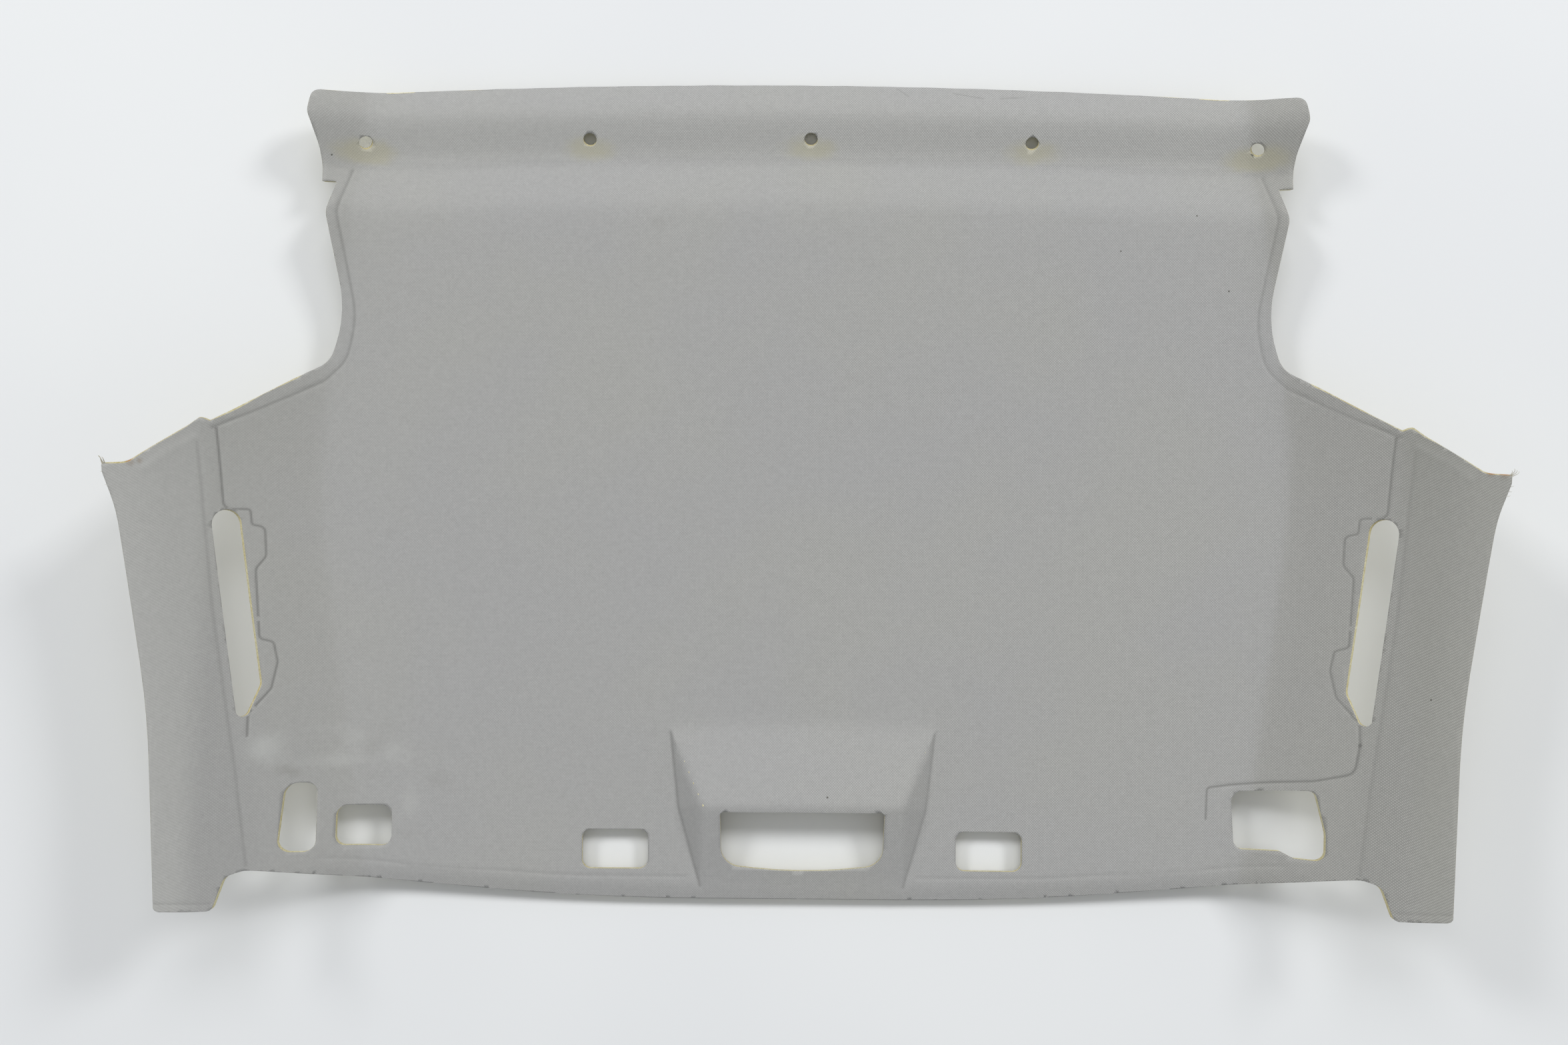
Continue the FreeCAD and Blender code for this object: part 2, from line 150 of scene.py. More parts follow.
# Loose yarn ends at the wings' tips: start x, y, then run in x, y, z and thickness, in millimetres
FRAYS = (
    (-581.0, 29.0, -2.4, 6.6, 2.6, 1.3), (-580.5, 29.5, -3.2, 5.8, 2.8, 1.0),
    (-579.5, 29.5, -1.8, 5.0, 2.2, 1.1), (-580.5, 22.0, -2.0, 0.6, 1.4, 0.4),
    (-578.0, 12.0, -1.6, -0.5, 1.0, 0.35),
    (580.5, 28.5, 2.4, 6.4, 2.4, 0.8), (580.8, 28.5, 4.0, 5.4, 2.8, 0.7), (581.0, 28.0, 5.4, 4.8, 3.0, 0.6),
    (580.0, 28.5, 1.0, 5.0, 2.0, 0.7), (580.5, 20.0, 2.4, 1.0, 1.4, 0.4), (579.5, 16.0, 2.2, 0.2, 1.2, 0.4),
    (578.5, 12.0, 2.2, 1.2, 1.2, 0.35),
)

# Weave of the cloth in metres, where the wings start, and how far the threads lean there
WEAVE_PITCH = 0.0023
WING_FOOT_X = 0.505
SMALL_LEAN, LARGE_LEAN = 0.33, 0.57

# Lamps: name, place and size in metres, and power in watts
LAMP_AIM = (0, 0, 0)
LAMPS = (
    ("rear_lamp", (0.0, 4.2, 5.6), (4.0, 2.4), 140.0),
    ("left_lamp", (-4.3, 3.3, 4.5), (1.5, 1.5), 126.0),
    ("right_lamp", (4.3, 3.3, 4.5), (1.5, 1.5), 152.0),
    ("upper_lamp", (0.0, 0.0, 4.0), (1.0, 1.0), 11.0),
)
SKY_TINT, SKY_STRENGTH = (0.97, 0.985, 1.0, 1.0), 0.40
FLOOR_SIZE = 12

# Camera: place in the mould's position, sensor width and lens, all in millimetres, and roll in degrees
CAMERA_PLACE = (-18.5, -14.6, 1519.0)
SENSOR_WIDTH, LENS = 36.0, 38.74
CAMERA_ROLL = 0.5


def soft_ramp(distance, slope, blend):
    return slope * (distance + np.hypot(distance, blend)) / 2


def soft_step(distance, blend):
    return (1 + distance / np.hypot(distance, blend)) / 2


def side_fold(y):
    return FOLD_OUT - FOLD_TAPER * (np.hypot(y - FOLD_PEAK_Y, FOLD_BLEND) - FOLD_BLEND)


def relief(x, y):
    """Height of the board's cabin face in the mould's position."""
    beyond = abs(x) - side_fold(y)
    rear = y + x * x / (2 * REAR_BOW_RADIUS)
    front = x * x / (2 * FRONT_BOW_RADIUS) - y
    height = (x * x + y * y) / (2 * CROWN_RADIUS)
    height = height + soft_ramp(beyond, SIDE_SLOPE, SIDE_BLEND)
    height = height + soft_ramp(beyond - CREASE_OFFSET, WING_SLOPE - SIDE_SLOPE, CREASE_BLEND)
    height = height - soft_ramp(beyond - FLARE_OFFSET, WING_SLOPE - FLARE_SLOPE, FLARE_BLEND)
    height = height - soft_ramp(rear - SHOULDER_Y, SHOULDER_SLOPE, SHOULDER_BLEND)
    height = height + soft_ramp(rear - VALLEY_Y, SHOULDER_SLOPE + FLANGE_SLOPE, VALLEY_BLEND)
    height = height - soft_ramp(rear - ROLL_Y, FLANGE_SLOPE + ROLL_SLOPE, ROLL_BLEND)
    lip = soft_ramp(front + LIP_Y, LIP_SLOPE, LIP_BLEND)
    return height - lip * soft_step(LIP_HALF_WIDTH - abs(x), LIP_FADE)


def plane_height(a, b, c, x, y):
    """Height of the plane through three points, over x, y."""
    facing = (b - a).cross(c - a)
    return a.z - (facing.x * (x - a.x) + facing.y * (y - a.y)) / facing.z


def console(x, y):
    """Height of the lamp console's wedge."""
    def corner(place, rise=0.0, side=1):
        return Vector((side * place[0], place[1], float(relief(place[0], place[1])) + rise))

    rear, foot, front = corner(CONSOLE_REAR), corner(CONSOLE_FOOT), corner(CONSOLE_FRONT)
    fold = corner(CONSOLE_FOLD, CONSOLE_RISE)
    across = Vector((1, 0, 0))
    out = abs(x)
    planes = [
        plane_height(fold, fold + across, rear, out, y),
        plane_height(fold, fold + across, front, out, y),
        plane_height(fold, rear, foot, out, y),
        plane_height(fold, foot, front, out, y),
    ]
    height = planes[0]
    for other in planes[1:]:
        height = np.minimum(height, other)
    return height


def cabin_face(x, y):
    """Height of the whole cabin face, with the console's foot softly rounded."""
    base = relief(x, y)
    wedge = console(x, y)
    return (base + wedge + np.hypot(base - wedge, CONSOLE_BLEND)) / 2


def at_rest(points):
    """Points in millimetres in the mould's position, moved to the panel at rest in metres."""
    angle = math.radians(REST_PITCH)
    x, y, z = points[:, 0], points[:, 1], points[:, 2]
    turned_y = y * math.cos(angle) - z * math.sin(angle)
    turned_z = y * math.sin(angle) + z * math.cos(angle)
    moved = np.stack([x + REST_SHIFT[0], turned_y + REST_SHIFT[1], turned_z + REST_SHIFT[2]], axis=1)
    return moved / 1000


def on_cloth(x, y, rise=0.6):
    """A place on the cloth at rest, in metres."""
    height = float(cabin_face(np.array([float(x)]), np.array([float(y)]))[0]) + rise
    return tuple(at_rest(np.array([[x, y, height]]))[0])


def in_mould(points):
    """Points at rest in metres, moved back to the mould's position in millimetres."""
    angle = math.radians(REST_PITCH)
    x = points[:, 0] * 1000 - REST_SHIFT[0]
    y = points[:, 1] * 1000 - REST_SHIFT[1]
    z = points[:, 2] * 1000 - REST_SHIFT[2]
    turned_y = y * math.cos(angle) + z * math.sin(angle)
    turned_z = z * math.cos(angle) - y * math.sin(angle)
    return np.stack([x, turned_y, turned_z], axis=1)


# Places and shapes of the marks

SPECK_PLACES = [(on_cloth(x, y, CLOTH_THICKNESS), radius / 1000) for x, y, radius in SPECKS]
RUST_PLACES = [
    (on_cloth(-563, 31), 0.005), (on_cloth(-557, 32.5), 0.004),
    (on_cloth(577, 31), 0.007), (on_cloth(568, 31.5), 0.005),
]


def rounded(corners):
    """Points along a path whose corners are rounded."""
    points = [np.array(corners[0][:2], dtype=float)]
    for before, corner, after in zip(corners, corners[1:], corners[2:]):
        middle = np.array(corner[:2], dtype=float)
        back = np.array(before[:2]) - middle
        ahead = np.array(after[:2]) - middle
        back_length = np.hypot(*back)
        ahead_length = np.hypot(*ahead)
        turn = math.pi - math.acos(np.clip(back @ ahead / (back_length * ahead_length), -1, 1))
        trim = min(corner[2] * math.tan(turn / 2), 0.48 * back_length, 0.48 * ahead_length)
        start = middle + back / back_length * trim
        end = middle + ahead / ahead_length * trim
        for share in np.linspace(0, 1, 6):
            points.append((1 - share) ** 2 * start + 2 * share * (1 - share) * middle + share ** 2 * end)
    points.append(np.array(corners[-1][:2], dtype=float))
    return points


def distance_to(path, x, y):
    """Distance from each place to the path."""
    nearest = np.full(len(x), 1e6)
    for start, end in zip(path, path[1:]):
        run = end - start
        length = run @ run
        if length == 0:
            continue
        share = np.clip(((x - start[0]) * run[0] + (y - start[1]) * run[1]) / length, 0, 1)
        nearest = np.minimum(nearest, np.hypot(x - start[0] - share * run[0], y - start[1] - share * run[1]))
    return nearest


def line_distances(x, y):
    """Distance from each place to each pressed line."""
    return [distance_to(rounded(line[0]), x if line[1] == RIGHT_SIDE else abs(x), y) for line in PRESSED]


def blobs(marks, x, y):
    """Soft oval marks added together."""
    total = np.zeros(len(x))
    for middle_x, middle_y, half_length, half_width, strength in marks:
        total += strength * np.exp(-((x - middle_x) / half_length) ** 2 - ((y - middle_y) / half_width) ** 2)
    return np.minimum(total, 1.3)


# Materials

class Value:
    """A number on a node's socket that can be used in sums."""

    def __init__(self, finish, socket):
        self.finish = finish
        self.socket = socket

    def worked(self, operation, *values):
        return self.finish.node("ShaderNodeMath", {"operation": operation}, dict(enumerate(values)))

    def __add__(self, other):
        return self.worked("ADD", self, other)

    def __radd__(self, other):
        return self.worked("ADD", other, self)

    def __sub__(self, other):
        return self.worked("SUBTRACT", self, other)

    def __rsub__(self, other):
        return self.worked("SUBTRACT", other, self)

    def __mul__(self, other):
        return self.worked("MULTIPLY", self, other)

    def __rmul__(self, other):
        return self.worked("MULTIPLY", other, self)

    def sine(self):
        return self.worked("SINE", self)

    def magnitude(self):
        return self.worked("ABSOLUTE", self)

    def sign(self):
        return self.worked("SIGN", self)

    def at_least(self, other):
        return self.worked("MAXIMUM", self, other)

    def above(self, low, high):
        """0 below low, 1 above high, smooth between."""
        return self.finish.node("ShaderNodeMapRange", {"interpolation_type": "SMOOTHSTEP"},
                                {"Value": self, "From Min": low, "From Max": high})


class Finish:
    """A material and the way its nodes are added."""

    def __init__(self, name):
        self.material = bpy.data.materials.new(name)
        self.material.use_nodes = True
        self.tree = self.material.node_tree
        self.tree.nodes.clear()
        self.place = self.node("ShaderNodeTexCoord", output="Object")

    def node(self, kind, settings=None, inputs=None, output=0):
        made = self.tree.nodes.new(kind)
        for name, value in (settings or {}).items():
            setattr(made, name, value)
        for name, value in (inputs or {}).items():
            if isinstance(value, Value):
                self.tree.links.new(value.socket, made.inputs[name])
            else:
                made.inputs[name].default_value = value
        return Value(self, made.outputs[output]) if len(made.outputs) else None

    def axes(self):
        """The object's own x and y, in metres."""
        split = self.node("ShaderNodeSeparateXYZ", inputs={"Vector": self.place})
        node = split.socket.node
        return [Value(self, node.outputs[name]) for name in ("X", "Y")]

    def noise(self, scale, detail=2.0, roughness=0.5):
        inputs = {"Vector": self.place, "Scale": scale, "Detail": detail, "Roughness": roughness}
        return self.node("ShaderNodeTexNoise", {"noise_dimensions": "3D"}, inputs)

    def attribute(self, name):
        return self.node("ShaderNodeAttribute", {"attribute_name": name}, output="Fac")

    def blended(self, first, second, share, kind="MIX"):
        """Colours mixed by a share from 0 to 1."""
        settings = {"data_type": "RGBA", "blend_type": kind}
        return self.node("ShaderNodeMix", settings, {0: share, 6: first, 7: second}, 2)

    def surface(self, inputs):
        shader = self.node("ShaderNodeBsdfPrincipled", inputs=inputs)
        self.node("ShaderNodeOutputMaterial", inputs={"Surface": shader})
        return self.material


def colour(red, green, blue):
    """A colour as shades of 0 to 255 on screen, as the light it stands for."""
    return tuple((shade / 255) ** 2.2 for shade in (red, green, blue)) + (1.0,)


def spot(finish, place, radius, soft=0.35):
    """1 within a small round spot, 0 outside."""
    ends = {0: finish.place, 1: place}
    away = finish.node("ShaderNodeVectorMath", {"operation": "DISTANCE"}, ends, "Value")
    return 1 - away.above(radius * soft, radius)


def cloth_finish():
    finish = Finish("grey_roof_cloth")
    x, y = finish.axes()
    turn = 2 * math.pi / WEAVE_PITCH
    wander = finish.noise(6.0, 1.0) * 0.0012 + finish.noise(70.0, 2.0) * 0.0005
    past = (x.magnitude() - WING_FOOT_X).at_least(0.0)
    right = (x * 4.0).above(0.0, 1.0)
    rising_x = x - x.sign() * past * (right * SMALL_LEAN - (1 - right) * LARGE_LEAN)
    falling_x = x + x.sign() * past * (right * LARGE_LEAN - (1 - right) * SMALL_LEAN)
    rising = ((rising_x - y + wander) * turn).sine() + 1
    falling = ((falling_x + y + wander) * turn).sine() + 1
    on_wing = past.above(0.0, 0.02)
    lines = rising * right + falling * (1 - right)
    threads = rising * falling * 0.25 * (1 - on_wing * 0.45) + lines * on_wing * 0.12
    patchy = finish.noise(9.0, 3.0, 0.6).above(0.34, 0.62)
    strength = (patchy * 0.4 + x.above(-0.45, 0.35) + 0.2) * 0.34
    clouds = finish.noise(5.0, 3.0, 0.5).above(0.35, 0.7)
    fluff = finish.noise(420.0, 3.0, 0.6)
    grain = finish.noise(190.0, 2.0, 0.6)
    tone = 1 + (threads - 0.25) * strength + (fluff - 0.5) * 0.16 + (grain - 0.5) * 0.14
    base = finish.blended(colour(160, 160, 159), colour(161, 161, 158), clouds)
    # Painted light: the flange between the valley and the roll is coloured lighter to make up for its
    # shading
    base = finish.blended(base, colour(181, 181, 178), finish.attribute("flange_painted_light") * 0.8)
    # Painted shade on the side walls beyond the side fold, weaker on the left
    base = finish.blended(base, colour(148, 147, 140), finish.attribute("wall") * 0.35)
    # Painted shade on the right wing and painted light on the left wing, for the way the lamps fall on them
    base = finish.blended(base, colour(150, 150, 143), on_wing * right * 0.4)
    base = finish.blended(base, colour(168, 168, 165), on_wing * (1 - right) * 0.8)
    base = finish.blended(base, tone, 1.0, "MULTIPLY")
    broken = finish.noise(60.0, 5.0, 0.7)
    glue = (finish.attribute("glue") + broken * 0.7 - 0.55).above(0.0, 0.75)
    base = finish.blended(base, colour(178, 174, 148), glue * 0.55)
    dark = (finish.attribute("smudge") + broken * 0.6 - 0.5).above(0.0, 0.9)
    base = finish.blended(base, colour(134, 133, 128), dark * 0.6)
    pale = (finish.attribute("pale") + broken * 0.6 - 0.5).above(0.0, 0.9)
    base = finish.blended(base, colour(181, 182, 179), pale * 0.8)
    # Painted shade along the pressed lines, the valley and the flange's top edge, a pale line along the wing
    # ridge, and the top scratches' own dark colour
    painted_line_shade_and_scratches = finish.attribute("painted_line_shade_and_scratches")
    base = finish.blended(base, colour(206, 206, 202), (painted_line_shade_and_scratches * -1).above(0.05, 0.6) * 0.5)
    base = finish.blended(base, colour(96, 96, 93), painted_line_shade_and_scratches.above(0.05, 1.0) * 0.75)
    for place, radius in SPECK_PLACES:
        base = finish.blended(base, colour(74, 72, 66), spot(finish, place, radius) * 0.8)
    for place, radius in RUST_PLACES:
        base = finish.blended(base, colour(128, 112, 92), spot(finish, place, radius, 0.1) * broken * 0.9)
    height = threads * 0.6 + fluff * 0.5
    bump = finish.node("ShaderNodeBump", {}, {"Strength": 0.35, "Distance": 0.0006, "Height": height})
    return finish.surface({"Base Color": base, "Roughness": 0.93, "Normal": bump, "Specular IOR Level": 0.15,
                           "Sheen Weight": 0.1, "Sheen Roughness": 0.6})


def yarn_finish():
    finish = Finish("frayed_yarn")
    fibres = finish.noise(1400.0, 3.0, 0.6)
    base = finish.blended(colour(166, 160, 142), colour(196, 192, 176), fibres.above(0.35, 0.7))
    return finish.surface({"Base Color": base, "Roughness": 0.9, "Specular IOR Level": 0.1})


def cut_cloth_finish():
    finish = Finish("cut_cloth_edge")
    fibres = finish.noise(900.0, 3.0, 0.6)
    base = finish.blended(colour(196, 194, 184), colour(150, 148, 138), fibres.above(0.35, 0.7))
    return finish.surface({"Base Color": base, "Roughness": 0.95, "Specular IOR Level": 0.1})


def foam_finish():
    finish = Finish("yellow_foam_board")
    cell_inputs = {"Vector": finish.place, "Scale": 700.0}
    cells = finish.node("ShaderNodeTexVoronoi", {"feature": "F1"}, cell_inputs, "Distance")
    blotches = finish.noise(16.0, 4.0, 0.6)
    fibres = finish.noise(260.0, 4.0, 0.7)
    base = finish.blended(colour(214, 208, 170), colour(202, 190, 142), blotches.above(0.35, 0.68))
    base = finish.blended(base, colour(232, 229, 208), fibres.above(0.45, 0.7) * 0.6)
    base = finish.blended(base, colour(160, 146, 102), cells.above(0.35, 0.75) * 0.4)
    for place, radius in RUST_PLACES:
        base = finish.blended(base, colour(176, 128, 84), spot(finish, place, radius, 0.2) * 0.85)
    height = cells * -0.6 + fibres * 0.7
    bump = finish.node("ShaderNodeBump", {}, {"Strength": 0.5, "Distance": 0.0006, "Height": height})
    inputs = {"Base Color": base, "Roughness": 0.92, "Normal": bump, "Specular IOR Level": 0.15}
    return finish.surface(inputs)


def floor_finish():
    finish = Finish("pale_floor")
    clouds = finish.noise(1.3, 3.0, 0.5)
    base = finish.blended(colour(224, 226, 228), colour(229, 231, 232), clouds.above(0.35, 0.7))
    return finish.surface({"Base Color": base, "Roughness": 0.8, "Specular IOR Level": 0.2})


# Mesh tools

def only(obj):
    """Makes this the one selected and active object."""
    if bpy.context.object and bpy.context.object.mode != "OBJECT":
        bpy.ops.object.mode_set(mode="OBJECT")
    bpy.ops.object.select_all(action="DESELECT")
    obj.select_set(True)
    bpy.context.view_layer.objects.active = obj


def places(mesh):
    flat = np.empty(len(mesh.vertices) * 3)
    mesh.vertices.foreach_get("co", flat)
    return flat.reshape(-1, 3)


def set_places(mesh, points):
    mesh.vertices.foreach_set("co", np.ascontiguousarray(points, dtype=float).ravel())
    mesh.update()


def select_faces(mesh, chosen):
    """Selects the faces that chosen marks, and nothing else."""
    mesh.vertices.foreach_set("select", np.zeros(len(mesh.vertices), bool))
    mesh.edges.foreach_set("select", np.zeros(len(mesh.edges), bool))
    mesh.polygons.foreach_set("select", np.asarray(chosen, bool))


def face_facts(mesh):
    count = len(mesh.polygons)
    facing = np.empty(count * 3)
    mesh.polygons.foreach_get("normal", facing)
    middle = np.empty(count * 3)
    mesh.polygons.foreach_get("center", middle)
    return facing.reshape(-1, 3), middle.reshape(-1, 3)


def delete_faces(obj, chosen):
    only(obj)
    bpy.ops.object.mode_set(mode="EDIT")
    bpy.ops.mesh.select_mode(type="FACE")
    bpy.ops.object.mode_set(mode="OBJECT")
    select_faces(obj.data, chosen)
    bpy.ops.object.mode_set(mode="EDIT")
    bpy.ops.mesh.delete(type="FACE")
    bpy.ops.object.mode_set(mode="OBJECT")


def cut_pattern(node):
    """Upright solid over the cloth's own outline and openings, for cutting the cloth out."""
    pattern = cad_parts[node].copy()
    pattern.data = pattern.data.copy()
    pattern.name = "cut_pattern"
    bpy.context.collection.objects.link(pattern)
    set_places(pattern.data, in_mould(places(pattern.data)))
    only(pattern)
    bpy.ops.object.mode_set(mode="EDIT")
    bpy.ops.mesh.select_all(action="SELECT")
    bpy.ops.mesh.remove_doubles(threshold=0.001)
    bpy.ops.object.mode_set(mode="OBJECT")
    facing = face_facts(pattern.data)[0]
    delete_faces(pattern, facing[:, 2] < 0.6)
    points = places(pattern.data)
    points[:, 2] = PATTERN_FOOT
    set_places(pattern.data, points)
    bpy.ops.object.mode_set(mode="EDIT")
    bpy.ops.mesh.select_all(action="SELECT")
    bpy.ops.mesh.extrude_region_move(TRANSFORM_OT_translate={"value": (0, 0, PATTERN_HEIGHT)})
    bpy.ops.mesh.select_all(action="SELECT")
    bpy.ops.mesh.normals_make_consistent(inside=False)
    bpy.ops.object.mode_set(mode="OBJECT")
    return pattern


def cloth_blank():
    """Flat slab with a fine grid on top, larger than the panel."""
    columns = int(BLANK_WIDTH / CELL)
    rows = int(BLANK_LENGTH / CELL)
    bpy.ops.mesh.primitive_grid_add(x_subdivisions=columns, y_subdivisions=rows, size=1, location=(0, 0, 0))
    blank = bpy.context.object
    blank.name = "cloth"
    only(blank)
    points = places(blank.data)
    points[:, 0] = points[:, 0] * BLANK_WIDTH
    points[:, 1] = points[:, 1] * BLANK_LENGTH + BLANK_MIDDLE_Y
    set_places(blank.data, points)
    bpy.ops.object.mode_set(mode="EDIT")
    bpy.ops.mesh.select_mode(type="EDGE")
    bpy.ops.mesh.select_all(action="SELECT")
    bpy.ops.mesh.region_to_loop()
    bpy.ops.mesh.extrude_edges_move(TRANSFORM_OT_translate={"value": (0, 0, -BLANK_THICKNESS)})
    bpy.ops.mesh.edge_face_add()
    bpy.ops.mesh.select_all(action="SELECT")
    bpy.ops.mesh.normals_make_consistent(inside=False)
    bpy.ops.object.mode_set(mode="OBJECT")
    return blank


def trimmed(blank, pattern):
    """The blank cut to the pattern, with only its top face kept."""
    only(blank)
    cut = blank.modifiers.new("cut", "BOOLEAN")
    cut.operation = "INTERSECT"
    cut.solver = "EXACT"
    cut.object = pattern
    bpy.ops.object.modifier_apply(modifier="cut")
    bpy.data.objects.remove(pattern)
    facing, middle = face_facts(blank.data)
    delete_faces(blank, (facing[:, 2] < 0.9) | (middle[:, 2] < -1))
    return blank


def boundary(mesh):
    """Marks the points on the mesh's open edges."""
    edges = np.empty(len(mesh.edges) * 2, int)
    mesh.edges.foreach_get("vertices", edges)
    edges = edges.reshape(-1, 2)
    loops = np.empty(len(mesh.loops), int)
    mesh.loops.foreach_get("edge_index", loops)
    uses = np.bincount(loops, minlength=len(edges))
    marked = np.zeros(len(mesh.vertices), bool)
    marked[edges[uses == 1].ravel()] = True
    return marked


def worn_edges(x, y, marked):
    """The open points on the wings' rear edges, then those on the flange's edge."""
    outer = abs(x) > FLANGE_HALF_WIDTH
    inner = abs(x) < FLANGE_HALF_WIDTH
    on_wing = marked & outer & (y > WING_EDGE_FRONT_Y) & (y < WING_EDGE_REAR_Y)
    on_flange = marked & inner & (y > FLANGE_EDGE_Y)
    return on_wing, on_flange


def edge_distance(x, y, edge_x, edge_y, width):
    """Distance from each place to the nearest edge point, where it is less than about the width."""
    away = np.full(len(x), 1e6)
    across = (abs(x) > abs(edge_x).min() - width) & (abs(x) < abs(edge_x).max() + width)
    along = (y > edge_y.min() - width) & (y < edge_y.max() + width)
    near = np.nonzero(across & along)[0]
    gap_x = x[near][:, None] - edge_x[None, :]
    gap_y = y[near][:, None] - edge_y[None, :]
    away[near] = np.min(np.hypot(gap_x, gap_y), axis=1)
    return away


def refine(obj):
    """Finer faces beside the pressed lines and worn edges, and over the front lip."""
    middle = face_facts(obj.data)[1]
    x, y = middle[:, 0], middle[:, 1]
    near = np.min(line_distances(x, y), axis=0) < FINE_REACH
    near |= x * x / (2 * FRONT_BOW_RADIUS) - y > -LIP_Y - LIP_BLEND
    points = places(obj.data)
    for worn in worn_edges(points[:, 0], points[:, 1], boundary(obj.data)):
        near |= edge_distance(x, y, points[worn, 0], points[worn, 1], CELL) < 0.6 * CELL
    only(obj)
    bpy.ops.object.mode_set(mode="EDIT")
    bpy.ops.mesh.select_mode(type="FACE")
    bpy.ops.object.mode_set(mode="OBJECT")
    select_faces(obj.data, near)
    bpy.ops.object.mode_set(mode="EDIT")
    bpy.ops.mesh.subdivide(number_cuts=FINE_CUTS)
    bpy.ops.object.mode_set(mode="OBJECT")


def worn_back(x, y, marked):
    """The cloth drawn back unevenly from its worn edges, and how near each place is to the flange's edge, as
    a mask for painted shade along that edge.
    """
    wing, top = worn_edges(x, y, marked)
    from_wing = edge_distance(x, y, x[wing], y[wing], WEAR_REACH + 1)
    from_top = edge_distance(x, y, x[top], y[top], WEAR_REACH + 1)
    uneven = 0.6 + 0.4 * np.sin(x * 0.13) * np.sin(x * 0.031 + 1.0)
    nicks = sum(soft_step(half_width - abs(x - middle), 0.8) for middle, half_width in NICKS)
    wing_pull = WING_WEAR * uneven * np.clip(1 - from_wing / WEAR_REACH, 0, 1)
    top_pull = (FLANGE_WEAR * uneven + NICK_DEPTH * nicks) * np.clip(1 - from_top / WEAR_REACH, 0, 1)
    moved_x = x - 0.45 * np.sign(x) * wing_pull
    moved_y = y - 0.9 * wing_pull - top_pull
    return moved_x, moved_y, np.clip(1 - from_top / 1.2, 0, 1) * np.clip(uneven - 0.35, 0, 1)


def board_heights(x, y):
    """Height of the board's own facets under each place, in the mould's position."""
    board_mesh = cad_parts["foam_board"].data
    corners = [Vector(place) for place in in_mould(places(board_mesh))]
    tree = BVHTree.FromPolygons(corners, [tuple(face.vertices) for face in board_mesh.polygons])
    heights = np.full(len(x), -1000.0)
    for index, (place_x, place_y) in enumerate(zip(x, y)):
        hit = tree.ray_cast(Vector((place_x, place_y, 300.0)), Vector((0, 0, -1)))[0]
        if hit is not None:
            heights[index] = hit.z
    return heights


def add_mark(mesh, name, values):
    layer = mesh.attributes.new(name, "FLOAT", "POINT")
    layer.data.foreach_set("value", np.ascontiguousarray(values, dtype=np.float32))


def make_cloth():
    cloth = trimmed(cloth_blank(), cut_pattern("fabric_facing"))
    refine(cloth)
    points = places(cloth.data)
    x, y, flange_edge_painted_shade = worn_back(points[:, 0], points[:, 1], boundary(cloth.data))
    slope_x = cabin_face(x + 0.5, y) - cabin_face(x - 0.5, y)
    slope_y = cabin_face(x, y + 0.5) - cabin_face(x, y - 0.5)
    tall = np.sqrt(1 + slope_x ** 2 + slope_y ** 2)
    height = cabin_face(x, y) + CLOTH_THICKNESS * tall
    # Painted shade along the flange's top edge and the pressed lines, a pale line along the wing ridge, and
    # the top scratches' own dark colour
    painted_line_shade_and_scratches = 0.5 * flange_edge_painted_shade
    for (_, _, half_width, depth, shade), away in zip(PRESSED, line_distances(x, y)):
        dip = np.exp(-(away / half_width) ** 2)
        height -= depth * dip
        painted_line_shade_and_scratches += shade * dip
    height = np.maximum(height, board_heights(x, y) + LEAST_CLOTH * tall)
    add_mark(cloth.data, "painted_line_shade_and_scratches", painted_line_shade_and_scratches * np.where(x > 0, RIGHT_LINE_SHADE, 1.0))
    # Mask of painted light over the flange between the valley and the roll
    from_valley = y + x * x / (2 * REAR_BOW_RADIUS) - VALLEY_Y
    flange_painted_light = soft_step(from_valley - 3, 3) * soft_step(ROLL_Y - VALLEY_Y - from_valley, 8)
    add_mark(cloth.data, "flange_painted_light", flange_painted_light)
    # Mask of painted shade on the side walls beyond the side fold, weaker on the left
    painted_wall_shade = np.where(x > 0, 1.0, LEFT_WALL_PAINTED_SHADE)
    add_mark(cloth.data, "wall", soft_step(abs(x) - side_fold(y) - 3, 3) * painted_wall_shade)
    add_mark(cloth.data, "glue", blobs(GLUE_MARKS, x, y))
    add_mark(cloth.data, "smudge", blobs(DARK_MARKS, x, y))
    add_mark(cloth.data, "pale", blobs(PALE_MARKS, x, y))
    set_places(cloth.data, at_rest(np.stack([x, y, height], axis=1)))
    only(cloth)
    cloth.data.materials.clear()
    cloth.data.materials.append(cloth_finish())
    cloth.data.materials.append(cut_cloth_finish())
    wall = cloth.modifiers.new("thickness", "SOLIDIFY")
    wall.thickness = CLOTH_THICKNESS / 1000
    wall.offset = -1
    wall.use_rim = True
    wall.use_rim_only = True
    wall.material_offset_rim = 1
    bpy.ops.object.modifier_apply(modifier="thickness")
    bpy.ops.object.shade_smooth_by_angle(angle=math.radians(50))
    return cloth


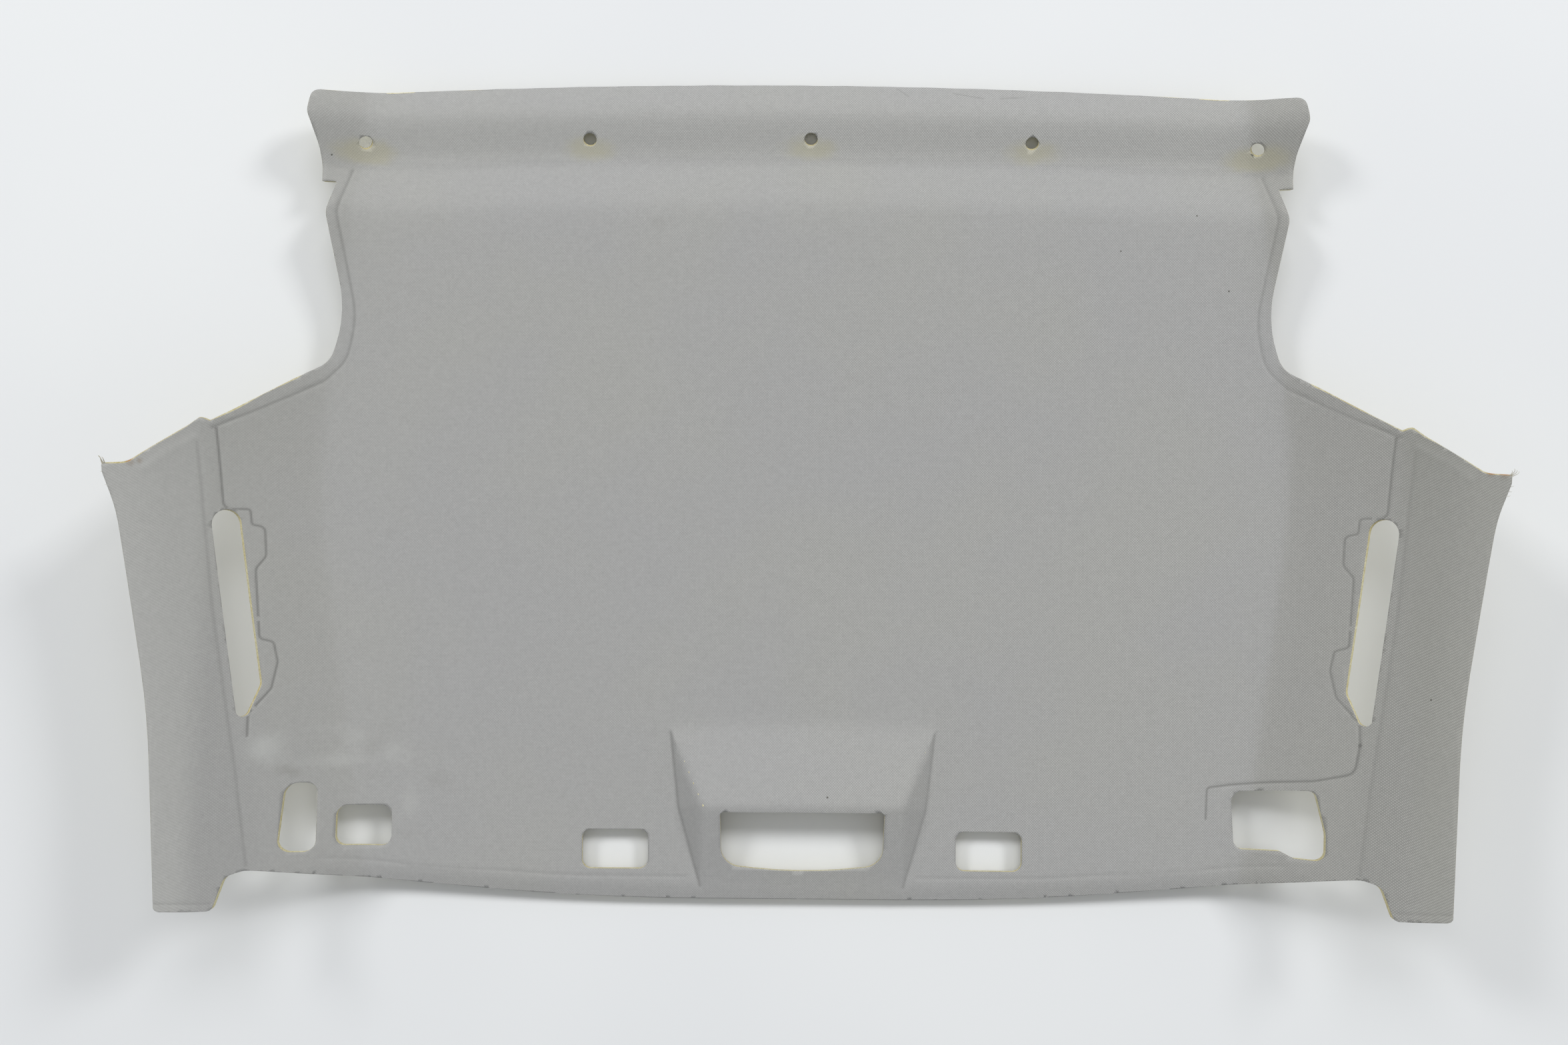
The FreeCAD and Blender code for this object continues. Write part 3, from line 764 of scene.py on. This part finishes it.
def make_frays():
    """Short loose yarn ends that stand off the wings' tips."""
    pieces = []
    for start_x, start_y, run_x, run_y, run_z, thickness in FRAYS:
        bpy.ops.curve.primitive_bezier_curve_add(location=(0, 0, 0))
        yarn = bpy.context.object
        root = Vector(on_cloth(start_x, start_y))
        run = Vector((run_x, run_y, run_z)) / 1000
        first, last = yarn.data.splines[0].bezier_points
        first.co = root
        first.handle_left = root - run * 0.3
        first.handle_right = root + run * 0.4
        last.co = root + run
        last.handle_left = root + run * 0.7 + Vector((0.25 * run.y, -0.25 * run.x, 0.3 * run.length))
        last.handle_right = root + run * 1.3
        last.radius = 0.35
        yarn.data.bevel_depth = thickness / 2000
        yarn.data.bevel_resolution = 2
        yarn.data.resolution_u = 6
        yarn.data.use_fill_caps = True
        only(yarn)
        bpy.ops.object.convert(target="MESH")
        pieces.append(yarn)
    only(pieces[0])
    for piece in pieces:
        piece.select_set(True)
    bpy.ops.object.join()
    frays = bpy.context.object
    frays.name = "frayed_yarn_ends"
    frays.data.materials.clear()
    frays.data.materials.append(yarn_finish())
    bpy.ops.object.shade_smooth_by_angle(angle=math.radians(50))
    return frays


# Floor, lamps and camera

def make_floor():
    bpy.ops.mesh.primitive_plane_add(size=FLOOR_SIZE, location=(0, 0, 0))
    floor = bpy.context.object
    floor.name = "floor"
    floor.data.materials.append(floor_finish())
    return floor


def add_lamp(name, place, size, power):
    """Large soft lamp that faces the panel."""
    light = bpy.data.lights.new(name, "AREA")
    light.shape = "RECTANGLE"
    light.size, light.size_y = size
    light.energy = power
    lamp = bpy.data.objects.new(name, light)
    bpy.context.collection.objects.link(lamp)
    lamp.location = place
    lamp.rotation_euler = (Vector(LAMP_AIM) - Vector(place)).to_track_quat("-Z", "Y").to_euler()


def add_sky():
    """Even light from all round."""
    sky = bpy.data.worlds.new("studio")
    bpy.context.scene.world = sky
    sky.use_nodes = True
    glow = sky.node_tree.nodes["Background"]
    glow.inputs["Color"].default_value = SKY_TINT
    glow.inputs["Strength"].default_value = SKY_STRENGTH


def add_camera():
    """Camera that looks straight down on the mould, which leans a little at rest."""
    view = bpy.data.cameras.new("camera")
    view.sensor_fit = "HORIZONTAL"
    view.sensor_width = SENSOR_WIDTH
    view.lens = LENS
    camera = bpy.data.objects.new("camera", view)
    bpy.context.collection.objects.link(camera)
    place = Matrix.Translation(Vector(at_rest(np.array([CAMERA_PLACE]))[0]))
    lean = Matrix.Rotation(math.radians(REST_PITCH), 4, "X")
    roll = Matrix.Rotation(math.radians(CAMERA_ROLL), 4, "Z")
    camera.matrix_world = place @ lean @ roll
    bpy.context.scene.camera = camera
    bpy.context.scene.view_settings.view_transform = "Standard"


# The dressed panel and its setting

bpy.ops.object.select_all(action="DESELECT")
cloth = make_cloth()
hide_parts("fabric_facing")
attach(cloth, "root")

frays = make_frays()
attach(frays, "root")

foam = foam_finish()
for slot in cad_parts["foam_board"].material_slots:
    slot.material = foam

make_floor()
for lamp_facts in LAMPS:
    add_lamp(*lamp_facts)
add_sky()
add_camera()
